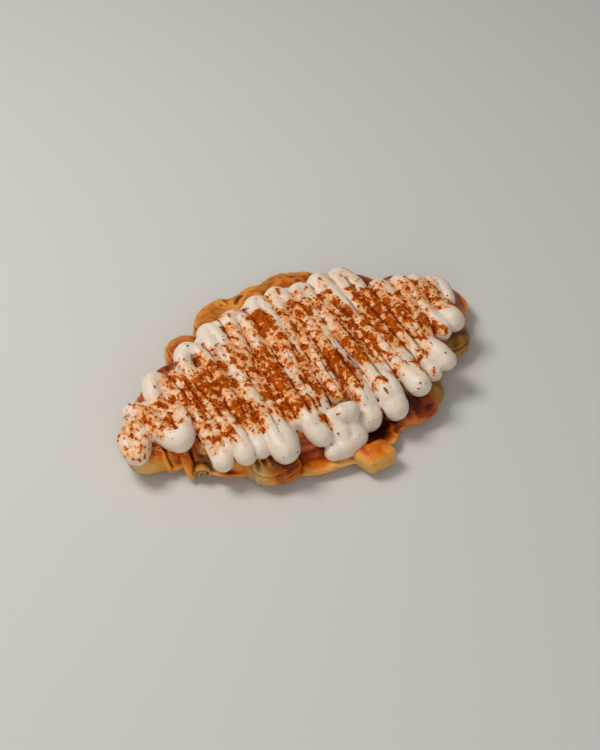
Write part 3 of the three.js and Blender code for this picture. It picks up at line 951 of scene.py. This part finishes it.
# %% Powder on a finish
def dusted(wire, place, colour, shader, normal):
    """Adds the powder: a film of it on the colour, and a dull shader for the clumps."""
    dust = attribute(wire, "dust")
    clumps, haze = powder_pattern(place, dust)
    veil = dust.slope(0.12, 0.62) * 0.36
    colour = (haze * 0.92).blend(veil.blend(colour, POWDER_VEIL), POWDER_FILM)
    # Creases and seams are darkened: partly powder, partly painted shade.
    deep = attribute(wire, "deep")
    colour = (deep.slope(0.3, 0.9) * 0.5).blend(colour, CREASE_POWDER_AND_SHADE)
    line = attribute(wire, "seam") * dust.slope(0.06, 0.3)
    colour = (line * 0.75).blend(colour, SEAM_POWDER_AND_SHADE)
    grain = place.noise(2600.0, detail=2.0)
    # The clumps are darker in creases and seams: painted shade.
    tone = place.noise(520.0, detail=3.0) * 1.3 + grain * 0.35 - 0.2 - deep * 0.5 - line * 0.4
    powder = tone.slope(0.3, 0.82).blend(POWDER_DARK, POWDER_LIGHT)
    gritty = raised(wire, clumps * 0.55 + clumps * grain * 0.6, 0.0005, normal)
    values = {"Base Color": powder, "Roughness": 0.9, "Specular IOR Level": 0.08}
    dull = wire.node("ShaderNodeBsdfPrincipled", {}, values | {"Normal": gritty})
    set_shader(wire, shader, Base_Color=colour, Normal=normal)
    both = {0: clumps, 1: Wire(wire.tree, shader.outputs[0]), 2: dull}
    mixed = wire.node("ShaderNodeMixShader", {}, both)
    end = next(node for node in wire.tree.nodes if node.type == "OUTPUT_MATERIAL")
    plug(wire.tree, end.inputs["Surface"], mixed)


# %% The cream's finish
def cream_material():
    material, wire, shader = new_material("cream")
    place = wire.node("ShaderNodeTexCoord", output=3)
    mottle = place.noise(90.0, detail=2.0).slope(0.3, 0.7)
    colour = mottle.blend((0.80, 0.695, 0.58), (0.77, 0.65, 0.53))
    rough = 0.34 + place.noise(260.0) * 0.16
    dusted(wire, place, colour, shader, raised(wire, place.noise(420.0), 0.00025))
    set_shader(wire, shader, Roughness=rough, Subsurface_Weight=0.22, Subsurface_Scale=0.003)
    set_shader(wire, shader, Subsurface_Radius=(1.0, 0.65, 0.4), IOR=1.42)
    return material


# %% The crust's finish
# The colours of each kind of crust, from unbaked, 0, to burnt, 1.
DOUGH = [
    (0.0, (0.74, 0.45, 0.155)), (0.22, (0.72, 0.33, 0.055)), (0.46, (0.61, 0.19, 0.012)),
    (0.72, (0.32, 0.06, 0.003)), (1.0, (0.05, 0.006, 0.001)),
]
CARAMEL = [
    (0.0, (0.80, 0.36, 0.05)), (0.35, (0.76, 0.18, 0.007)), (0.65, (0.42, 0.052, 0.001)),
    (1.0, (0.045, 0.003, 0.0)),
]
OLIVE = [
    (0.0, (0.65, 0.43, 0.18)), (0.35, (0.45, 0.245, 0.045)), (0.65, (0.26, 0.11, 0.009)),
    (1.0, (0.05, 0.015, 0.002)),
]


def crust_material():
    material, wire, shader = new_material("crust")
    place = wire.node("ShaderNodeTexCoord", output=3)
    streaks = place.stretch(1.0, 1.0, 3.4).noise(150.0, detail=5.0, roughness=0.6, distortion=0.6)
    flecks = place.noise(950.0, detail=2.0)
    # The stored browning carries painted shade in the crust's hollows and folds.
    bake = attribute(wire, "bake") + (streaks - 0.5) * 0.6 + (flecks - 0.5) * 0.28
    redness = (attribute(wire, "redness") + (place.noise(220.0) - 0.5) * 0.5).clamp()
    dough, caramel, olive = (
        wire.node("ShaderNodeValToRGB", {"stops": stops}, {"Fac": bake})
        for stops in (DOUGH, CARAMEL, OLIVE)
    )
    raw = (attribute(wire, "raw") + (streaks - 0.5) * 0.8).slope(0.2, 0.8)
    colour = raw.blend(redness.blend(dough, caramel), olive)
    rough = 0.44 + (streaks - 0.5) * 0.3 - redness * 0.12
    fine = streaks * 0.6 + place.noise(700.0, detail=3.0) * 0.4
    dusted(wire, place, colour, shader, raised(wire, fine, 0.0009))
    set_shader(wire, shader, Roughness=rough, Subsurface_Weight=0.08, Subsurface_Scale=0.002)
    set_shader(wire, shader, Subsurface_Radius=(1.0, 0.5, 0.2), Specular_IOR_Level=0.26)
    return material


# %% The piped cream
soft_cream = cream_material()
values = {"Half width": ROPE * MM, "Grain": 0.64 * MM, "Softening": 2}
fused = apply_tree(rope, "fused_rope", rope_tree(soft_cream), values)
corners = np.empty(len(fused.data.loops), np.int32)
fused.data.loops.foreach_get("vertex_index", corners)
cream_points, cream_faces = largest_piece(plan_points(fused.data)[0], corners.reshape(-1, 4))
piped = mesh_object("piped_cream", cream_points, cream_faces)
piped.data.materials.append(soft_cream)
for spent in (rope, fused):
    bpy.data.objects.remove(spent)
print("cream:", count_triangles(piped), "triangles")


# %% [markdown]
# ## The seams of the cream
#
# Fusing fills the joints between neighbouring passes, but on real cream each joint stays as a
# thin dark line with powder in it. A line drawn by noise would wander over the ridges. Here the
# route says where the joints are: a point is on one when two passes are equally near. The line
# is pressed into the mesh, and it is stored so that the finish can darken it with powder and
# painted shade.

# %% The seams between the passes
SAME_PASS = 11  # points of the route that belong to one place of one pass
SEAM_WIDTH = (0.2, 1.25)  # where a seam starts to fade, and where it is gone
SEAM_DEPTH = 0.6  # how deep it is pressed in, mm
FAR_AWAY = 99.0
BATCH = 4000  # points that are measured at a time, to save memory


def plan_distances(points, route):
    """How far each point is from each point of a route, seen from above."""
    return np.hypot(points[:, :1] - route[:, 0], points[:, 1:2] - route[:, 1])


def seams_at(points):
    """How near each point is to a seam between two passes of the rope: 1 on it, 0 off it."""
    order = np.arange(len(zigzag))
    gap = np.empty(len(points))
    for start in range(0, len(points), BATCH):
        far = plan_distances(points[start : start + BATCH], zigzag)
        near = np.abs(order - far.argmin(axis=1)[:, None]) < SAME_PASS
        other = np.where(near, FAR_AWAY, far).min(axis=1)
        gap[start : start + BATCH] = other - far.min(axis=1)
    gap = np.abs(gap + 0.9 * bumps(points, 9, 53) + 0.35 * bumps(points, 3.5, 55))
    # No seams run under the short strands, and they fade in places and at the right tip.
    strands = np.vstack([smooth_route(strand, 1.0) for strand in SHORT_STRANDS])
    clear = rise(plan_distances(points, strands).min(axis=1), 3.5, 5.5)
    open_seams = rise(bumps(points, 10, 54), -0.45, 0.35)
    open_seams *= 1 - 0.7 * rise(points[:, 0], 46, 58)
    return (1 - rise(gap, *SEAM_WIDTH)) * clear * open_seams


cream_points, cream_normals = plan_points(piped.data)
seams = seams_at(cream_points) * rise(cream_normals[:, 2], 0.1, 0.5)
store(piped.data, "seam", seams)
move_points(piped.data, cream_points - (SEAM_DEPTH * seams)[:, None] * cream_normals)
print("seams:", (seams > 0.5).sum(), "of", len(seams), "points")

# %% [markdown]
# ## The powder
#
# Cinnamon was shaken over the middle, and it gathered in the valleys between the passes. How much
# fell where is set by listed patches, of which the thickest counts at each point of both
# meshes. The pattern then says which points are under a clump: those rise a little, and loose
# grains are scattered there.

# %% Where the powder fell
# x, y: middle. long, wide: half sizes. amount: 1 covers two thirds. turn: degrees.
Dusting = namedtuple("Dusting", "x y long wide amount turn", defaults=(0,))
DUSTINGS = shapes(Dusting, [
    # thinly over the whole middle
    (-68, 2, 16, 9, 0.55), (-40, 0, 22, 20, 0.6), (-10, 2, 20, 26, 0.6), (18, 4, 18, 26, 0.6),
    (45, 2, 18, 22, 0.6), (66, 0, 14, 13, 0.64),
    # the left tip
    (-84, -7, 6, 5.5, 0.62), (-76, -5, 3, 2.5, 0.5), (-76, 3, 3.5, 3.5, 0.75),
    (-71, 9, 5, 4.5, 0.42), (-66, -9, 6, 5, 0.36), (-66, 2, 8, 5, 0.66),
    (-66, 12, 7, 3, 0.36, 15), (-64, -5, 9, 5, 0.5), (-60, 8, 5, 3.5, 0.85, -20),
    # the left end
    (-58, 19, 5, 4, 0.34), (-54.5, 2, 2.5, 11, 0.66), (-54, -16, 4.5, 10, 0.62, 5),
    (-53, 17, 5.5, 4.5, 0.55), (-49.5, 3, 3.2, 9, 1), (-46, -17, 4, 12, 0.66, 3),
    (-42, 12, 6, 4.5, 0.95), (-41, -8, 6, 6, 0.85), (-41, 28, 5, 4, 0.36), (-40, 3, 8, 5.5, 0.9),
    (-35, -13, 9, 6, 0.95), (-35, 20, 1.8, 5, 0.8), (-34, -20, 9, 5, 0.92),
    (-33, -26, 7, 3.5, 0.6), (-33, 13, 7, 5, 0.95, 10), (-31, 4, 4, 5, 0.8), (-30, 24, 4, 6, 0.5),
    # left of the middle
    (-21.5, 10, 2.2, 11, 0.85), (-19, -22, 6.5, 6, 0.85), (-16, 8, 3.5, 12, 0.8),
    (-16, 30, 4, 3.5, 0.8), (-15, -10, 8.5, 8, 1), (-10, -25, 5, 5, 0.8), (-10, 4, 3.5, 12, 0.8),
    (-9, -36, 2, 3.4, 0.8, 12), (-9, 24, 6, 5, 0.6), (-9, 38, 8, 3, 0.38), (-8, -12, 6, 7, 0.85),
    # the middle
    (-2, -12, 2.5, 7, 0.7), (-2, 50, 6, 4, 0.45), (-1, 27, 5.5, 6, 1), (0, -20, 5, 7, 0.8),
    (1.5, 6, 2.4, 14, 0.95), (5, -25, 6, 6, 0.75), (7, -4, 3, 5, 0.8), (8, -32, 3, 3, 0.6),
    (8, 14, 3, 3, 0.6), (9, 38, 1.8, 4, 0.6), (9.5, 22, 2.2, 9, 0.85), (13.5, -13, 4.5, 13, 1.1),
    (14, 12, 6, 5, 0.7), (14, 38, 3, 2.5, 0.5), (16, 24, 5, 7, 0.85),
    # right of the middle
    (21.5, -32, 3.5, 2.5, 0.8), (24, 33, 7, 2.5, 0.42), (25, 22, 4, 6, 0.75),
    (25.5, -9, 4.5, 10, 1.05), (30, 3, 5, 5, 0.85), (32, 25, 4.5, 3.5, 0.85),
    (33, -29, 5, 4, 0.45), (33, -8, 4, 8, 0.8), (34, -19, 6, 5, 0.6), (34, 17, 2.4, 9, 1, 5),
    (36, 32, 4, 4, 0.42), (40, 9, 3.5, 5, 0.8), (41.5, -33, 1.6, 6, 0.8),
    # the right end
    (43, -14, 6, 5, 0.7), (45, -37, 3, 2, 0.5), (45, -5, 7, 6.5, 1), (46, 15, 7.5, 5.5, 1),
    (46, 23, 4, 3, 0.55), (46.5, 33, 5, 4, 0.3), (47, 4, 7, 6, 0.95), (48, -27, 5, 2.5, 0.62, 10),
    (48, 31, 5, 4, 0.42), (49, 30, 1.8, 7, 0.7), (52, -24, 3, 3, 0.5), (53, 18, 6, 3, 0.9),
    (54, -14, 6, 7, 0.62), (56, 0, 7, 5.5, 0.9), (58, -24, 2, 3, 0.45),
    # the right tip
    (60, -13, 4, 6, 0.95), (62, -20, 4, 2.5, 0.6), (62, 10, 6, 6, 0.78), (64, -1, 4.5, 3, 0.8),
    (66, -8, 8, 9, 0.3), (68, 8, 6, 4, 0.82), (71, -9, 4.5, 3.5, 0.55), (72, -13, 4, 4, 0.32),
    (75, 5, 3.5, 3.5, 0.7), (76, -3, 3.5, 2.5, 0.6),
])
# Ridges that stand above their neighbours and stay nearly clean.
CLEAN = shapes(Dusting, [
    (-26.6, -2, 2, 18, 0.4, -3), (-42.5, -22, 1.8, 9, 0.4), (-6.6, -12, 2, 14, 0.5),
    (-29, -26, 2.5, 8, 0.5), (19.6, -8, 1.7, 14, 0.6, 3), (38.6, 20, 2.2, 12, 0.8, 6),
    (48, 30, 4, 9, 0.5), (23.4, 14, 1.6, 8, 0.4), (5.6, 20, 1.8, 12, 0.35), (59, 13, 3, 2.5, 0.4),
    (56, -28, 5, 5, 0.5), (72.5, -17, 4, 5, 0.6), (-23, 32, 5, 6, 0.8), (-38, 30, 7, 4, 0.5),
    (-60, 18, 5, 5, 0.3), (-66, -13, 8, 5, 0.5), (68.7, -14, 3.6, 6.5, 0.75, 25),
    (73.8, -17, 3, 4, 0.6), (82, 1, 4.5, 6, 0.65), (66, -3, 2, 3, 0.6),
])
EVERYWHERE = 0.1  # a few grains reach the clean parts of the cream


def covered(points, dusting, full, none):
    """A dusting's amount at each point: all of it within `full` half sizes, none past `none`."""
    along, across = turned(points, dusting)
    far = np.hypot(along / dusting.long, across / dusting.wide)
    return dusting.amount * (1 - rise(far, full, none))


def dust_at(points, normals, valley, least):
    """How much powder lies at each point: the patches, less on slopes, more in valleys."""
    total = np.full(len(points), least)
    for dusting in DUSTINGS:
        total = np.maximum(total, covered(points, dusting, 0.6, 1.7))
    inside = rise(total, 0.2, 0.6)
    total += (0.14 * bumps(points, 6, 51) + 0.1 * bumps(points, 3, 52) + 0.5 * valley) * inside
    for dusting in CLEAN:
        total *= 1 - covered(points, dusting, 0.7, 1.3)
    total *= rise(points[:, 2], 8, 13)  # the low rim stayed clean
    return np.clip(total * rise(normals[:, 2], -0.1, 0.45), 0, 1.2)


for piece, least in ((piped, EVERYWHERE), (crust, 0.0)):
    valley = np.clip(sunken(piece.data, 14), -0.6, 1.0)
    dust = dust_at(*plan_points(piece.data), valley, least)
    store(piece.data, "dust", dust)
    # How sunken each point is; the finishes darken it as painted shade with powder.
    store(piece.data, "deep", np.clip(4.0 * sunken(piece.data, 5), 0, 1))
    print(piece.name, "is dusted over", round(100 * (dust > 0.3).mean()), "% of its points")


# %% The thickness of the clumps
def powder_parts(make):
    """In a geometry tree: the place, the stored dust, and the pattern's clumps and haze."""
    dust = make("GeometryNodeInputNamedAttribute", {"data_type": "FLOAT"}, {"Name": "dust"})
    place = make("GeometryNodeInputPosition")
    return (place, dust, *powder_pattern(place, dust))


def relief_tree(material):
    """Raises a surface where clumps of powder lie, and roughens it slightly elsewhere."""
    tree, given, end = new_tree("powder_relief", {"Thickness": "Float", "Unevenness": "Float"})
    make = Wire(tree).node
    place, _, clumps, _ = powder_parts(make)
    height = clumps * (0.5 + place.noise(700.0, detail=2.0)) * given["Thickness"]
    height = height + (place.noise(95.0, detail=2.0) - 0.5) * given["Unevenness"]
    values = {0: make("GeometryNodeInputNormal"), "Scale": height}
    offset = make("ShaderNodeVectorMath", {"operation": "SCALE"}, values)
    lifted = make("GeometryNodeSetPosition", {}, {"Geometry": given["Geometry"], "Offset": offset})
    return finish_tree(tree, end, lifted, material)


values = {"Thickness": 0.35 * MM, "Unevenness": 1.4 * MM}
cream = apply_tree(piped, "cream_with_powder", relief_tree(soft_cream), values)
bpy.data.objects.remove(piped)
crust.data.materials.append(crust_material())


# %% Loose grains
def grain_tree(material):
    """Scatters grains where the powder lies on the cream and on the crust."""
    inputs = {"Crust": "Object", "Per square metre": "Float", "Size": "Float", "Seed": "Int"}
    tree, given, end = new_tree("loose_grains", inputs)
    make = Wire(tree).node
    other = make("GeometryNodeObjectInfo", {}, {"Object": given["Crust"]}, output=4)
    join = tree.nodes.new("GeometryNodeJoinGeometry")
    for surface in (given["Geometry"], other):
        tree.links.new(surface.socket, join.inputs["Geometry"])
    ground = Wire(tree, join.outputs["Geometry"])
    _, dust, clumps, haze = powder_parts(make)
    share = clumps * 0.4 + haze * 0.12 + dust.slope(0.03, 0.3) * 0.022
    seed = {"Seed": given["Seed"]}
    values = {"Mesh": ground, "Density": share * given["Per square metre"]}
    points = make("GeometryNodeDistributePointsOnFaces", {}, values | seed)
    grain = make("GeometryNodeMeshIcoSphere", {}, {"Radius": given["Size"], "Subdivisions": 1})
    values = {2: 0.0, 3: 1.0}
    dice = make("FunctionNodeRandomValue", {"data_type": "FLOAT"}, values | seed, output=1)
    size = dice.math("POWER", dice, 2.5) * 1.5 + 0.5
    values = {0: (0.0, 0.0, 0.0), 1: (math.tau, math.tau, math.tau)}
    turn = make("FunctionNodeRandomValue", {"data_type": "FLOAT_VECTOR"}, values | seed)
    values = {"Points": points, "Instance": grain, "Rotation": turn, "Scale": size}
    grains = make("GeometryNodeInstanceOnPoints", {}, values)
    settings = {"data_type": "FLOAT", "domain": "INSTANCE"}
    values = {"Geometry": grains, "Name": "tone", "Value": dice}
    grains = make("GeometryNodeStoreNamedAttribute", settings, values)
    return finish_tree(tree, end, grains, material)


def grain_material():
    material, wire, shader = new_material("cinnamon")
    place = wire.node("ShaderNodeTexCoord", output=3)
    tone = (attribute(wire, "tone") * 0.7 + place.noise(800.0) * 0.5).slope(0.1, 0.9)
    colour = tone.blend(POWDER_LIGHT, (0.28, 0.045, 0.002))
    set_shader(wire, shader, Base_Color=colour, Roughness=0.9, Specular_IOR_Level=0.08)
    return material


values = {"Crust": crust, "Per square metre": 1.1e6, "Size": 0.24 * MM, "Seed": 5}
powder = apply_tree(cream, "cinnamon_grains", grain_tree(grain_material()), values)
print("powder:", count_triangles(powder), "triangles")

# %% [markdown]
# ## The table
#
# Food looks best from the height of someone about to eat it, so the camera looks down at about 45
# degrees through a long lens. The main light comes from behind and to the left, because light
# from behind draws the ridges of the cream and lets the crust glow, and a large weak one in front
# keeps the shadows open.

# %% Camera, floor and light
TARGET = Vector((-5.1, -4.57, 16.0)) * MM
AWAY = Vector((-253.8, -390.9, 476.7)) * MM


def aim(thing, place):
    """Puts a camera or a light somewhere, and turns it to the croffle."""
    thing.location = place
    thing.rotation_euler = (TARGET - place).to_track_quat("-Z", "Y").to_euler()


def area_light(name, place, size, power, colour):
    light = bpy.data.lights.new(name, "AREA")
    light.size = size
    light.energy = power
    light.color = colour
    aim(new_object(name, light), Vector(place))


camera = new_object("camera", bpy.data.cameras.new("camera"))
camera.data.lens = 74.7
camera.data.sensor_width = 36
aim(camera, TARGET + AWAY)
bpy.context.scene.camera = camera
area_light("key", (-0.28, 0.32, 0.70), 0.3, 4.2, (1.0, 0.96, 0.90))
area_light("fill", (-0.40, -0.70, 0.5), 0.7, 2.3, (1.0, 0.97, 0.94))

floor_mesh = bpy.data.meshes.new("floor")
floor_mesh.from_pydata([(-3, -3, 0), (3, -3, 0), (3, 3, 0), (-3, 3, 0)], [], [(0, 1, 2, 3)])
floor = new_object("floor", floor_mesh)
floor_material, floor_wire, floor_shader = new_material("floor")
set_shader(floor_wire, floor_shader, Base_Color=(0.62, 0.61, 0.59), Roughness=0.8)
floor.data.materials.append(floor_material)

world = bpy.data.worlds.new("world")
world.use_nodes = True
sky = world.node_tree.nodes["Background"].inputs
sky["Color"].default_value = (1.0, 0.98, 0.95, 1)
sky["Strength"].default_value = 0.25
bpy.context.scene.world = world
bpy.context.scene.view_settings.view_transform = "Standard"

# %% Riding on the frame
for piece, slot in ((crust, "crust"), (cream, "cream"), (powder, "cinnamon")):
    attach(piece, "root")
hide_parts("crust")
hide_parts("cream")
